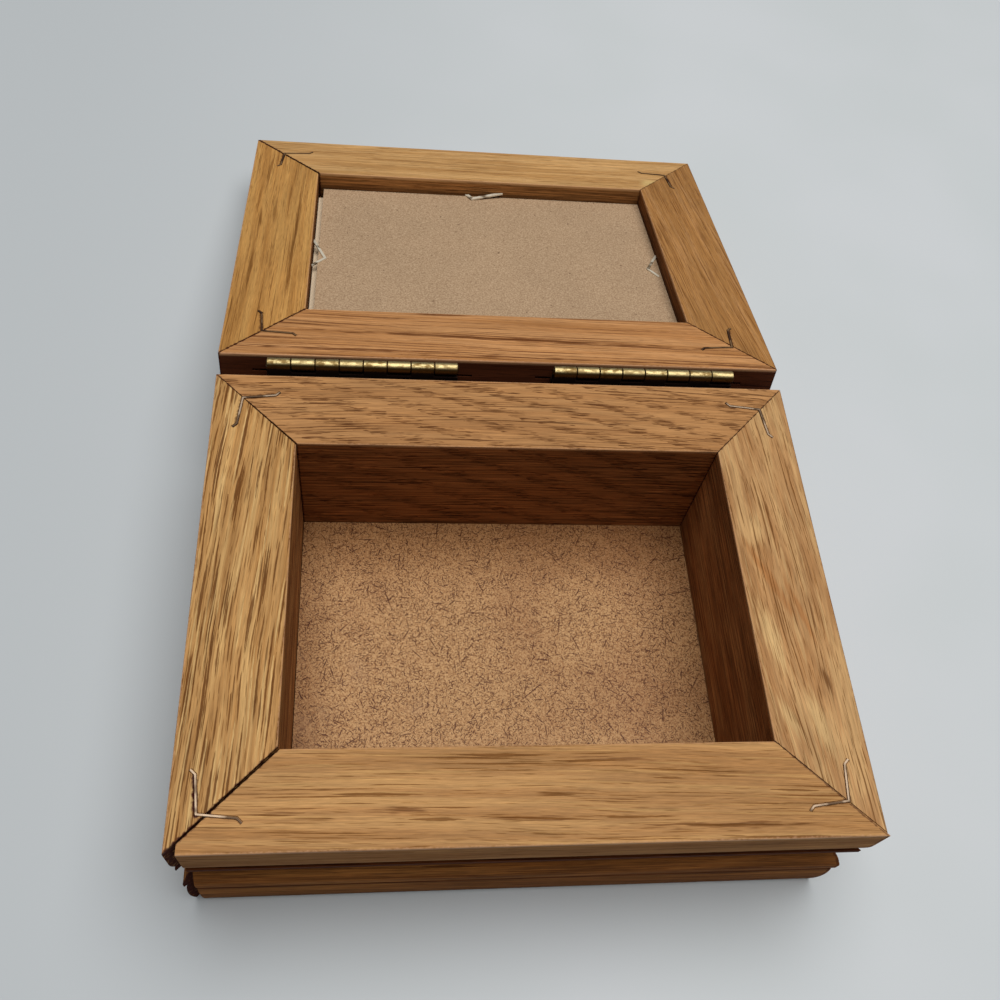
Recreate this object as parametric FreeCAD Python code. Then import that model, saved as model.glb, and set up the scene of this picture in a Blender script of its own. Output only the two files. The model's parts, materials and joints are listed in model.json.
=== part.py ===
import FreeCAD, Part
import os
from math import asin, atan2, cos, degrees, hypot, radians, sin, sqrt

# An oak trinket box built like two picture frames. The base is a deep frame with a hardboard floor,
# and the lid is a real picture frame, laid open past half a turn with its far edge on the table.
# Millimetres. X runs across the box, Y from its front edge to its hinges and on to the open lid, Z up.
# The origin is on the table, at the middle of the open box's width and length.

Vector = FreeCAD.Vector
X_AXIS = Vector(1, 0, 0)
Z_AXIS = Vector(0, 0, 1)

# Both frames
BOX_WIDTH = 178.0
BOX_DEPTH = 141.5
RAIL_WIDTH = 25.0
LIP_WIDTH = 6.0
EDGE_ROUND = 0.3

# The base, a deep moulding whose foot has a lip for the floor
BASE_HEIGHT = 54.0
FLOOR_LIP = 5.6
FLOOR_THICKNESS = 3.2
FLOOR_GAP = 0.2

# The lid, a shallower moulding. Depths are measured from its flat back.
LID_THICKNESS = 23.0
SIGHT_LIP_DEPTH = 11.5
SIGHT_FALL = 6.2
FACE_EDGE_INSET = 0.5
FACE_EDGE_ROUND = 1.5

# What lies in the lid, from the glass out to the back. The edges of each sheet are its left and right
# ones, and its near and far ones as distances from the recess's wall at the hinges.
GLASS_THICKNESS = 2.0
CARD_THICKNESS = 0.4
BACKING_THICKNESS = 2.55
GLASS_EDGES = (-63.8, 63.4, 0.1, 90.7)
CARD_EDGES = (-63.9, 63.0, 0.1, 88.9)
BACKING_EDGES = (-62.0, 63.9, 0.2, 91.3)

# Hinges. The pins stand behind the rear faces and a little above the seam.
HINGE_CENTRES = {"left": -44.9, "right": 43.9}
HINGE_LENGTH = 58.5
KNUCKLES = 8
KNUCKLE_GAP = 0.3
KNUCKLE_BEVEL = 0.12
BARREL_RADIUS = 1.85
BORE_RADIUS = 0.95
PIN_RADIUS = 0.90
PIN_HEAD_RADIUS = 1.25
PIN_HEAD_LENGTH = 0.3
PIN_END_PLAY = 0.05
PIN_BEHIND_REAR = 3.5
PIN_ABOVE_BASE = 1.3
CLOSED_GAP = 0.5
LEAF_THICKNESS = 0.85
LEAF_DROP = 5.2
LEAF_BEND = 0.3
NOTCH_DROP = 2.15
BLADE_IN_WOOD = 5.5

# Saw kerfs that the hinge leaves are pressed into
KERF_OVERRUN = 5.0
KERF_DEPTH = 8.5
KERF_SLACK = 0.1

# V-nails across the mitres, driven by hand and so a little off them. Their points are insets from a
# side face and from the front or rear face, and their legs open wider than the corner by two splays.
BASE_NAIL_POINTS = {
    "front_left": (6.9, 9.4),
    "front_right": (8.5, 9.0),
    "rear_left": (8.6, 8.7),
    "rear_right": (8.6, 8.3),
}
LID_NAIL_POINTS = {
    "front_left": (11.2, 10.3),
    "front_right": (12.6, 11.8),
    "rear_left": (12.2, 12.2),
    "rear_right": (12.5, 11.6),
}
BASE_NAIL_SPLAY = 6.5
LID_NAIL_SPLAY = 5.0
NAIL_LEG = 9.6
NAIL_HOOK = 1.8
NAIL_THICKNESS = 0.45
NAIL_DEPTH = 7.0
NAIL_PROUD = 0.15
NAIL_MOUTH_WIDTH = 1.0
NAIL_MOUTH_DEPTH = 0.5

# Flat wire of the staples that hold the backing
STAPLE_WIDTH = 0.9
STAPLE_THICKNESS = 0.5
STAPLE_IN_WOOD = 3.0

# Side staples lie flat. Where the wire meets the wall, turns and ends, as distances from the hinge edge
# and, for turns and ends, across the box.
LEFT_STAPLE_WALL = (77.3, 60.9)
LEFT_STAPLE_TURN = (-59.5, 65.8)
RIGHT_STAPLE_WALL = 76.8
RIGHT_STAPLE_TURN = (59.3, 67.7)
RIGHT_STAPLE_END = (62.6, 62.6)

# End staples slope up to the wall. Across the box: where they lie low, turn, and enter the wall high.
END_STAPLE_LOW = -5.8
END_STAPLE_TURN = -3.9
END_STAPLE_HIGH = 7.8
END_STAPLE_REACH = 2.9
END_STAPLE_RISE = 1.3
END_STAPLE_LIFT = 0.1
END_STAPLE_WIDTH = 1.3

# Rails are cut from longer lengths by a wedge that runs past both ends of each mitre, as shares of it
RAIL_SPARE = 5.0
MITRE_PAST_TIP = 0.1
MITRE_PAST_WELL = 0.35

TABLE_GAP = 0.1
OVERCUT = 1.0
SAME = 1e-6

# Where the pins and the lid are while the box is shut
PIN_Z = BASE_HEIGHT + PIN_ABOVE_BASE
LID_BACK_Z = BASE_HEIGHT + CLOSED_GAP
LID_BACK_BELOW_PIN = PIN_ABOVE_BASE - CLOSED_GAP

# Half sizes of both frames and of the well inside the rails
HALF_WIDTH = BOX_WIDTH / 2
HALF_DEPTH = BOX_DEPTH / 2
HALF_WELL_WIDTH = HALF_WIDTH - RAIL_WIDTH
HALF_WELL_DEPTH = HALF_DEPTH - RAIL_WIDTH


def resting_tilt():
    """How far past half a turn the lid opens before the rounded edge of its face meets the table."""
    across = PIN_BEHIND_REAR + BOX_DEPTH - FACE_EDGE_INSET - FACE_EDGE_ROUND
    below = LID_THICKNESS - FACE_EDGE_ROUND - LID_BACK_BELOW_PIN
    height = PIN_Z - TABLE_GAP - FACE_EDGE_ROUND
    return asin(height / hypot(across, below)) - atan2(below, across)


LID_TILT = resting_tilt()
LID_REACH = ((PIN_BEHIND_REAR + BOX_DEPTH - EDGE_ROUND) * cos(LID_TILT)
             + (LID_BACK_BELOW_PIN - EDGE_ROUND) * sin(LID_TILT) + EDGE_ROUND)
OPEN_LENGTH = BOX_DEPTH + PIN_BEHIND_REAR + LID_REACH
FRONT_Y = -OPEN_LENGTH / 2
REAR_Y = FRONT_Y + BOX_DEPTH
MIDDLE_Y = FRONT_Y + HALF_DEPTH
PIN_Y = REAR_Y + PIN_BEHIND_REAR

# Corners as signs of X and Y from the middle of the frame
CORNERS = {"front_left": (-1, -1), "front_right": (1, -1), "rear_left": (-1, 1), "rear_right": (1, 1)}

# Each rail's two corners
RAILS = {
    "front": ("front_left", "front_right"),
    "rear": ("rear_left", "rear_right"),
    "left": ("front_left", "rear_left"),
    "right": ("front_right", "rear_right"),
}

# How far each mitre stands open at its outer tip and at the well
BASE_MITRES = {
    "front_left": (0.5, 0.9),
    "front_right": (0.2, 0.25),
    "rear_left": (0.12, 0.6),
    "rear_right": (0.15, 0.2),
}
LID_MITRES = {
    "front_left": (0.25, 0.9),
    "front_right": (0.12, 0.2),
    "rear_left": (0.2, 0.3),
    "rear_right": (0.25, 0.3),
}

# How far a front or rear rail's tip runs out past the side rail
BASE_TIP_SLIP = {"front_right": 0.7}
LID_TIP_SLIP = {}

# How much of the base's front rail has broken off at its sharp left tip
BROKEN_TIP = 3.0

# Outer side of the base's moulding, from its top: (inset, depth below the top), and pairs are arcs
BASE_OUTSIDE = [
    ((0.09, 0.09), (0.0, EDGE_ROUND)),
    (0.0, 10.0),
    ((0.22, 13.4), (0.9, 16.4)),
    (1.6, 16.6),
    (1.6, 17.1),
    (0.4, 17.3),
    (0.4, 19.1),
    (2.3, 19.4),
    ((3.5, 24.0), (2.6, 28.4)),
    ((1.4, 30.0), (0.6, 31.8)),
    ((0.14, 32.9), (0.0, 34.2)),
    (0.0, 36.4),
    (0.9, 36.8),
    (0.9, 37.6),
    (0.25, 38.8),
    ((0.0, 46.0), (0.8, BASE_HEIGHT)),
]

# How far in from both faces the middle of the lid's rounded edge lies
FACE_EDGE_BULGE = FACE_EDGE_ROUND * (1 - sqrt(0.5))

# Outer side and face of the lid's moulding, from its back: (inset, depth from the back)
LID_OUTSIDE = [
    ((0.09, 0.09), (0.0, EDGE_ROUND)),
    (0.0, 9.0),
    ((0.2, 11.6), (0.8, 14.0)),
    (1.5, 14.2),
    (1.5, 14.8),
    (FACE_EDGE_INSET, 15.0),
    (FACE_EDGE_INSET, LID_THICKNESS - FACE_EDGE_ROUND),
    ((FACE_EDGE_INSET + FACE_EDGE_BULGE, LID_THICKNESS - FACE_EDGE_BULGE),
     (FACE_EDGE_INSET + FACE_EDGE_ROUND, LID_THICKNESS)),
    (8.0, LID_THICKNESS),
    (8.4, LID_THICKNESS - 1.0),
    ((17.0, LID_THICKNESS - 4.9), (27.0, LID_THICKNESS - 4.6)),
    ((30.0, LID_THICKNESS - 4.9), (RAIL_WIDTH + LIP_WIDTH, LID_THICKNESS - SIGHT_FALL)),
]


def section(outside, lip_top, lip_foot, place):
    """Face of a rail's section: the moulded outside, then the lip, the well's wall and the flat top.

    outside holds points and (through, end) pairs for arcs, as insets from the outer face and depths
    from the top. lip_top and lip_foot are the depths of the lip's two faces.
    """
    lip_inset = RAIL_WIDTH + LIP_WIDTH
    eased = EDGE_ROUND * (1 - sqrt(0.5))
    steps = outside + [
        (lip_inset, lip_foot),
        (lip_inset, lip_top),
        (RAIL_WIDTH, lip_top),
        (RAIL_WIDTH, EDGE_ROUND),
        ((RAIL_WIDTH - eased, eased), (RAIL_WIDTH - EDGE_ROUND, 0.0)),
        (EDGE_ROUND, 0.0),
    ]
    edges = []
    at = place(EDGE_ROUND, 0.0)
    for step in steps:
        if isinstance(step[0], tuple):
            through, end = place(*step[0]), place(*step[1])
            edges.append(Part.Arc(at, through, end).toShape())
        else:
            end = place(*step)
            if at.distanceToPoint(end) > SAME:
                edges.append(Part.LineSegment(at, end).toShape())
        at = end
    return Part.Face(Part.Wire(edges))


def mitred_plan(name, mitres, slips):
    """Solid column over the rail's plan, its ends cut along the mitres with half of each gap taken off."""
    runs_along_x = name in ("front", "rear")
    low_z = -OVERCUT
    outer, inner = [], []
    for corner in RAILS[name]:
        sign_x, sign_y = CORNERS[corner]
        away = Vector(-sign_x, sign_y, 0) if runs_along_x else Vector(sign_x, -sign_y, 0)
        away.normalize()
        gap_out, gap_in = mitres[corner]
        tip_x = sign_x * (HALF_WIDTH + slips.get(corner, 0.0))
        tip = Vector(tip_x, MIDDLE_Y + sign_y * HALF_DEPTH, low_z) + away * (gap_out / 2)
        well = Vector(sign_x * HALF_WELL_WIDTH, MIDDLE_Y + sign_y * HALF_WELL_DEPTH, low_z)
        along = well + away * (gap_in / 2) - tip
        outer.append(tip - along * MITRE_PAST_TIP)
        inner.append(tip + along * (1 + MITRE_PAST_WELL))
    plan = Part.makePolygon([outer[0], outer[1], inner[1], inner[0], outer[0]])
    column_height = BASE_HEIGHT + CLOSED_GAP + LID_THICKNESS + 2 * OVERCUT
    return Part.Face(plan).extrude(Z_AXIS * column_height)


def rail(name, outside, lip_top, lip_foot, height_at, mitres, slips):
    """One mitred rail. height_at turns a depth from the flat top or back into a height."""
    half_run = (HALF_WIDTH if name in ("front", "rear") else HALF_DEPTH) + RAIL_SPARE

    def place(inset, depth):
        z = height_at(depth)
        if name == "front":
            return Vector(-half_run, FRONT_Y + inset, z)
        if name == "rear":
            return Vector(-half_run, REAR_Y - inset, z)
        if name == "left":
            return Vector(-HALF_WIDTH + inset, MIDDLE_Y - half_run, z)
        return Vector(HALF_WIDTH - inset, MIDDLE_Y - half_run, z)

    run = Vector(2 * half_run, 0, 0) if name in ("front", "rear") else Vector(0, 2 * half_run, 0)
    length = section(outside, lip_top, lip_foot, place).extrude(run)
    return length.common(mitred_plan(name, mitres, slips))


def strip(path, thickness, width, normal):
    """Solid strip bent along a path that lies in one plane, as thick in the plane as given.

    It starts at the path's plane and is width wide along the plane's normal. Bends are mitred.
    """
    left, right = [], []
    for i, point in enumerate(path):
        sides = []
        for a, b in ((i - 1, i), (i, i + 1)):
            if a >= 0 and b < len(path):
                side = normal.cross(path[b] - path[a])
                side.normalize()
                sides.append(side)
        mitre = sides[0]
        if len(sides) == 2:
            mitre = (sides[0] + sides[1]) * (1 / (1 + sides[0].dot(sides[1])))
        left.append(point + mitre * (thickness / 2))
        right.append(point - mitre * (thickness / 2))
    corners = left + right[::-1]
    return Part.Face(Part.makePolygon(corners + [corners[0]])).extrude(normal * width)


def v_nail_path(corner, points, splay, z):
    """Plan of a V-nail: its point near the mitre, a leg along each rail and an outward hook at each end."""
    sign_x, sign_y = CORNERS[corner]
    from_side, from_end = points[corner]
    point = Vector(sign_x * (HALF_WIDTH - from_side), MIDDLE_Y + sign_y * (HALF_DEPTH - from_end), z)
    along = NAIL_LEG * cos(radians(splay))
    outward = NAIL_LEG * sin(radians(splay))
    end_x = point + Vector(-sign_x * along, sign_y * outward, 0)
    end_y = point + Vector(sign_x * outward, -sign_y * along, 0)
    lean = NAIL_HOOK * sqrt(0.5)
    hook_x = end_x + Vector(-sign_x * lean, sign_y * lean, 0)
    hook_y = end_y + Vector(sign_x * lean, -sign_y * lean, 0)
    return [hook_x, end_x, point, end_y, hook_y]


def v_nail(corner, points, splay, surface_z, inward):
    """V-nail, and the slot it sits in with its torn mouth. inward is +1 or -1 along Z."""
    inner_z = surface_z + inward * NAIL_DEPTH
    outer_z = surface_z - inward * NAIL_PROUD
    low = min(inner_z, outer_z)
    nail = strip(v_nail_path(corner, points, splay, low), NAIL_THICKNESS, NAIL_DEPTH + NAIL_PROUD, Z_AXIS)
    mouth_z = surface_z if inward > 0 else surface_z - NAIL_MOUTH_DEPTH
    mouth = strip(v_nail_path(corner, points, splay, mouth_z), NAIL_MOUTH_WIDTH, NAIL_MOUTH_DEPTH, Z_AXIS)
    return nail, [nail, mouth]


def kerf(centre_x, low_z):
    """Blind saw kerf in a rear face, rounded at both ends where the saw ran in and out."""
    start = centre_x - HINGE_LENGTH / 2 - KERF_OVERRUN
    stop = centre_x + HINGE_LENGTH / 2 + KERF_OVERRUN
    bottom_y = REAR_Y - KERF_DEPTH
    bulge = KERF_DEPTH * sqrt(0.5)

    def at(x, y):
        return Vector(x, y, low_z)

    run_in = Part.Arc(at(start, REAR_Y), at(start + KERF_DEPTH - bulge, REAR_Y - bulge),
                      at(start + KERF_DEPTH, bottom_y)).toShape()
    run_out = Part.Arc(at(stop - KERF_DEPTH, bottom_y), at(stop - KERF_DEPTH + bulge, REAR_Y - bulge),
                       at(stop, REAR_Y)).toShape()
    bottom = Part.LineSegment(at(start + KERF_DEPTH, bottom_y), at(stop - KERF_DEPTH, bottom_y)).toShape()
    mouth = Part.makePolygon([at(stop, REAR_Y), at(stop, REAR_Y + OVERCUT), at(start, REAR_Y + OVERCUT),
                              at(start, REAR_Y)]).Edges
    outline = Part.Wire([run_in, bottom, run_out] + mouth)
    return Part.Face(outline).extrude(Z_AXIS * (LEAF_THICKNESS + KERF_SLACK))


def knuckle(start, place):
    """One knuckle with the stretch of leaf that hangs from it down to the notches."""
    length = HINGE_LENGTH / KNUCKLES - KNUCKLE_GAP
    inner_y = LEAF_THICKNESS - BARREL_RADIUS
    meets_z = -sqrt(BARREL_RADIUS ** 2 - inner_y ** 2)
    half_turn = atan2(meets_z, inner_y) / 2
    under = (BARREL_RADIUS * cos(half_turn), BARREL_RADIUS * sin(half_turn))
    foot = place(start, -BARREL_RADIUS, -NOTCH_DROP)
    inside = place(start, -BARREL_RADIUS, 0)
    crown = place(start, 0, BARREL_RADIUS)
    outside = place(start, BARREL_RADIUS, 0)
    curl = place(start, *under)
    curl_end = place(start, inner_y, meets_z)
    foot_end = place(start, inner_y, -NOTCH_DROP)
    edges = [
        Part.LineSegment(foot, inside).toShape(),
        Part.Arc(inside, crown, outside).toShape(),
        Part.Arc(outside, curl, curl_end).toShape(),
        Part.LineSegment(curl_end, foot_end).toShape(),
        Part.LineSegment(foot_end, foot).toShape(),
    ]
    body = Part.Face(Part.Wire(edges)).extrude(X_AXIS * length)
    rims = []
    for edge in body.Edges:
        box = edge.BoundBox
        on_foot = box.ZLength < SAME and abs(box.ZMin - foot.z) < SAME
        if box.XLength < SAME and not on_foot:
            rims.append(edge)
    body = body.makeChamfer(KNUCKLE_BEVEL, rims)
    bore = Part.makeCylinder(BORE_RADIUS, length + 2 * OVERCUT, place(start - OVERCUT, 0, 0), X_AXIS)
    return body.cut(bore)


def hinge_leaf(centre_x, first_knuckle, up):
    """Brass leaf: every other knuckle, the plate below them, and the blade bent into the wood.

    up is -1 for the base's leaf, whose plate goes down, and +1 for the lid's while the box is shut.
    """
    first_x = centre_x - HINGE_LENGTH / 2

    def place(x, y, z):
        return Vector(x, PIN_Y + y, PIN_Z - up * z)

    inner_y = LEAF_THICKNESS - BARREL_RADIUS
    top = -LEAF_DROP + LEAF_THICKNESS / 2
    foot = -LEAF_DROP - LEAF_THICKNESS / 2
    bend_y = -BARREL_RADIUS - LEAF_BEND
    bend_z = top + LEAF_BEND
    tip_y = -PIN_BEHIND_REAR - BLADE_IN_WOOD
    slope = sqrt(0.5)
    outside_bend = LEAF_BEND + LEAF_THICKNESS
    corners = {
        "notch": place(first_x, -BARREL_RADIUS, -NOTCH_DROP),
        "bend_in": place(first_x, -BARREL_RADIUS, bend_z),
        "bend_mid": place(first_x, bend_y + LEAF_BEND * slope, bend_z - LEAF_BEND * slope),
        "bend_out": place(first_x, bend_y, top),
        "tip_top": place(first_x, tip_y, top),
        "tip_foot": place(first_x, tip_y, foot),
        "back_in": place(first_x, bend_y, foot),
        "back_mid": place(first_x, bend_y + outside_bend * slope, bend_z - outside_bend * slope),
        "back_out": place(first_x, inner_y, bend_z),
        "notch_back": place(first_x, inner_y, -NOTCH_DROP),
    }

    def line(a, b):
        return Part.LineSegment(corners[a], corners[b]).toShape()

    outline = Part.Wire([
        line("notch", "bend_in"),
        Part.Arc(corners["bend_in"], corners["bend_mid"], corners["bend_out"]).toShape(),
        line("bend_out", "tip_top"),
        line("tip_top", "tip_foot"),
        line("tip_foot", "back_in"),
        Part.Arc(corners["back_in"], corners["back_mid"], corners["back_out"]).toShape(),
        line("back_out", "notch_back"),
        line("notch_back", "notch"),
    ])
    leaf = Part.Face(outline).extrude(X_AXIS * HINGE_LENGTH)
    pitch = HINGE_LENGTH / KNUCKLES
    starts = [first_x + i * pitch + KNUCKLE_GAP / 2 for i in range(first_knuckle, KNUCKLES, 2)]
    return leaf.fuse([knuckle(start, place) for start in starts]).removeSplitter()


def hinge_pin(centre_x):
    """Plain brass pin with a small peened head just outside each end of the barrel."""
    half = HINGE_LENGTH / 2 - KNUCKLE_GAP / 2 + PIN_END_PLAY
    end = half + PIN_HEAD_LENGTH
    profile = [
        (-end, 0), (-end, PIN_RADIUS), (-half, PIN_HEAD_RADIUS), (-half, PIN_RADIUS),
        (half, PIN_RADIUS), (half, PIN_HEAD_RADIUS), (end, PIN_RADIUS), (end, 0), (-end, 0),
    ]
    outline = Part.makePolygon([Vector(centre_x + x, PIN_Y, PIN_Z + r) for x, r in profile])
    return Part.Face(outline).revolve(Vector(centre_x, PIN_Y, PIN_Z), X_AXIS, 360)


def sheet(low_x, high_x, low_y, high_y, low_z, thickness):
    """Flat rectangular sheet."""
    return Part.makeBox(high_x - low_x, high_y - low_y, thickness, Vector(low_x, low_y, low_z))


def lid_sheet(edges, seat_z, thickness):
    """Sheet in the shut lid's recess, lying under seat_z."""
    left, right, near, far = edges
    hinge_wall = REAR_Y - RAIL_WIDTH
    return sheet(left, right, hinge_wall - far, hinge_wall - near, seat_z - thickness, thickness)


def in_lid(across, from_hinge, above_backing):
    """Point in the shut lid's recess: across the box, from the lid's hinge edge, off the backing."""
    backing_z = LID_BACK_Z + SIGHT_LIP_DEPTH - GLASS_THICKNESS - CARD_THICKNESS - BACKING_THICKNESS
    return Vector(across, REAR_Y - from_hinge, backing_z - above_backing)


def into_side_wall(side, from_hinge):
    """Path of a wire from inside a side wall of the recess to the wall's face."""
    return [in_lid(side * (HALF_WELL_WIDTH + STAPLE_IN_WOOD), from_hinge, 0),
            in_lid(side * HALF_WELL_WIDTH, from_hinge, 0)]


def side_staples():
    """Staples bent flat on the backing: the left one returns to the wall, the right one ends free."""
    leave, enter = LEFT_STAPLE_WALL
    left = into_side_wall(-1, leave) + [in_lid(*LEFT_STAPLE_TURN, 0)] + into_side_wall(-1, enter)[::-1]
    right = into_side_wall(1, RIGHT_STAPLE_WALL)
    right += [in_lid(*RIGHT_STAPLE_TURN, 0), in_lid(*RIGHT_STAPLE_END, 0)]
    return {
        "left": strip(left, STAPLE_WIDTH, STAPLE_THICKNESS, -Z_AXIS),
        "right": strip(right, STAPLE_WIDTH, STAPLE_THICKNESS, -Z_AXIS),
    }


def end_staple(wall, toward_well):
    """Staple at the lid's hinge or far wall, its crown sloping from the backing up to the wall."""
    low = in_lid(END_STAPLE_LOW, wall, END_STAPLE_LIFT)
    corner = in_lid(END_STAPLE_TURN, wall + toward_well * END_STAPLE_REACH, END_STAPLE_LIFT)
    high = in_lid(END_STAPLE_HIGH, wall, END_STAPLE_LIFT + END_STAPLE_RISE)
    normal = (corner - low).cross(high - corner)
    normal.normalize()
    if normal.z > 0:
        normal = -normal
    buried = Vector(0, toward_well * STAPLE_IN_WOOD, 0)
    flat = buried - normal * buried.dot(normal)
    return strip([low + flat, low, corner, high, high + flat], END_STAPLE_WIDTH, STAPLE_THICKNESS, normal)


def broken_tip():
    """What the base's front rail has lost at its left tip, square to its face from top to foot."""
    corner = Vector(-HALF_WIDTH - OVERCUT, FRONT_Y - OVERCUT, -OVERCUT)
    return [Part.makeBox(BROKEN_TIP + OVERCUT, RAIL_WIDTH, BASE_HEIGHT + 2 * OVERCUT, corner)]


def base_parts():
    """The base: four rails, the floor and the V-nails, as solids by node name."""
    cutters = []
    parts = {}
    for corner in CORNERS:
        nail, slot = v_nail(corner, BASE_NAIL_POINTS, BASE_NAIL_SPLAY, BASE_HEIGHT, -1)
        parts[f"base_v_nail_{corner}"] = nail
        cutters += slot
    for centre_x in HINGE_CENTRES.values():
        cutters.append(kerf(centre_x, PIN_Z - LEAF_DROP - LEAF_THICKNESS / 2))
    for name in RAILS:
        whole = rail(name, BASE_OUTSIDE, BASE_HEIGHT - FLOOR_LIP, BASE_HEIGHT,
                     lambda depth: BASE_HEIGHT - depth, BASE_MITRES, BASE_TIP_SLIP)
        parts[f"base_{name}_rail"] = whole.cut(cutters + broken_tip() if name == "front" else cutters)
    half_floor_x = HALF_WELL_WIDTH - FLOOR_GAP
    half_floor_y = HALF_WELL_DEPTH - FLOOR_GAP
    parts["floor_panel"] = sheet(-half_floor_x, half_floor_x, MIDDLE_Y - half_floor_y,
                                 MIDDLE_Y + half_floor_y, FLOOR_LIP, FLOOR_THICKNESS)
    return parts


def lid_filling():
    """Glass, card and backing in the shut lid. The backing is pushed over to the right wall."""
    glass_seat = LID_BACK_Z + SIGHT_LIP_DEPTH
    card_seat = glass_seat - GLASS_THICKNESS
    backing_seat = card_seat - CARD_THICKNESS
    return {
        "glass_pane": lid_sheet(GLASS_EDGES, glass_seat, GLASS_THICKNESS),
        "picture_card": lid_sheet(CARD_EDGES, card_seat, CARD_THICKNESS),
        "backing_board": lid_sheet(BACKING_EDGES, backing_seat, BACKING_THICKNESS),
    }


def lid_parts():
    """The lid as solids by node name, while the box is shut."""
    cutters = []
    parts = lid_filling()
    staples = side_staples()
    staples["front"] = end_staple(BOX_DEPTH - RAIL_WIDTH, -1)
    staples["rear"] = end_staple(RAIL_WIDTH, 1)
    for name, staple in staples.items():
        parts[f"backing_staple_{name}"] = staple
        cutters.append(staple)
    for corner in CORNERS:
        nail, slot = v_nail(corner, LID_NAIL_POINTS, LID_NAIL_SPLAY, LID_BACK_Z, 1)
        parts[f"lid_v_nail_{corner}"] = nail
        cutters += slot
    for centre_x in HINGE_CENTRES.values():
        cutters.append(kerf(centre_x, PIN_Z + LEAF_DROP - LEAF_THICKNESS / 2))
    for name in RAILS:
        whole = rail(name, LID_OUTSIDE, SIGHT_LIP_DEPTH, LID_THICKNESS - SIGHT_FALL,
                     lambda depth: LID_BACK_Z + depth, LID_MITRES, LID_TIP_SLIP)
        parts[f"lid_{name}_rail"] = whole.cut(cutters)
    for side, centre_x in HINGE_CENTRES.items():
        parts[f"lid_leaf_{side}"] = hinge_leaf(centre_x, 1, 1)
    return parts


def opened(shape):
    """The shape turned about the hinge pins, from the shut lid to the lid lying on the table."""
    turned = shape.copy()
    turned.rotate(Vector(0, PIN_Y, PIN_Z), X_AXIS, -(180 + degrees(LID_TILT)))
    return turned


def main():
    """Build every piece and write one file for each."""
    parts = base_parts()
    for side, centre_x in HINGE_CENTRES.items():
        parts[f"base_leaf_{side}"] = hinge_leaf(centre_x, 0, -1)
        parts[f"hinge_pin_{side}"] = hinge_pin(centre_x)
    for name, shape in lid_parts().items():
        parts[name] = opened(shape)
    os.makedirs("parts", exist_ok=True)
    for name, shape in parts.items():
        shape.exportStep(f"parts/{name}.step")
        print(name, "solids", len(shape.Solids), "volume", round(shape.Volume, 2), "valid", shape.isValid())
    print("lid tilt past half a turn", round(degrees(LID_TILT), 3))
    print("pin axis at y", round(PIN_Y, 4), "z", round(PIN_Z, 4), "front y", round(FRONT_Y, 4))


main()
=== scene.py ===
"""Finishes, light and camera for an oak trinket box whose hinged lid is a picture frame.

Lengths are in metres in the part's own frame: X runs across the box, Y from its front edge to the
hinges and on to the open lid, and Z up from the table. Patterns are worked out in millimetres.
"""
import json
import logging
from dataclasses import dataclass, field
from enum import Enum
from math import cos, radians, sin, sqrt

import bpy
import numpy as np
from mathutils import Euler, Matrix, Vector


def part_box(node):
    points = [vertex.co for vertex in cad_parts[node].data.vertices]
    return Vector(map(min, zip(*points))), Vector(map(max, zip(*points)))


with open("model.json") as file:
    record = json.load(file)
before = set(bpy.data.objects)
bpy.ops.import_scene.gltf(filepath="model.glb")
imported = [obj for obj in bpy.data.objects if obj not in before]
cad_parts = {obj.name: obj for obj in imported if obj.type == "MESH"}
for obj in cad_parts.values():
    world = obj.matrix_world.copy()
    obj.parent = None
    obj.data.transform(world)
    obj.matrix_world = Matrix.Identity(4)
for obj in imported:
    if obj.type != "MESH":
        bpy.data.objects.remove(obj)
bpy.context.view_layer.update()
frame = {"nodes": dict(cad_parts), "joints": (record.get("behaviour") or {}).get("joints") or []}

log = logging.getLogger("trinket_box")

Colour = tuple[float, float, float]
Socket = bpy.types.NodeSocket
MM = 1000.0


def tone(red: int, green: int, blue: int) -> Colour:
    """Turn a colour as it looks on a screen into the linear colour that a shader takes.

    Args:
        red: Red from 0 to 255.
        green: Green from 0 to 255.
        blue: Blue from 0 to 255.

    Returns:
        The linear red, green and blue.
    """
    shares = (channel / 255 for channel in (red, green, blue))
    return tuple(((s + 0.055) / 1.055) ** 2.4 if s > 0.04045 else s / 12.92 for s in shares)


class Run(Enum):
    """Which way a board's fibres run in its frame."""

    SIDEWAYS = "the front and rear rails"
    LENGTHWAYS = "the side rails"


class Gather(Enum):
    """Where the marks of one kind crowd together in a board."""

    EVEN = "all over"
    CLOUDS = "in slow patches"
    RINGS = "in the early wood of the growth rings"


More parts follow.
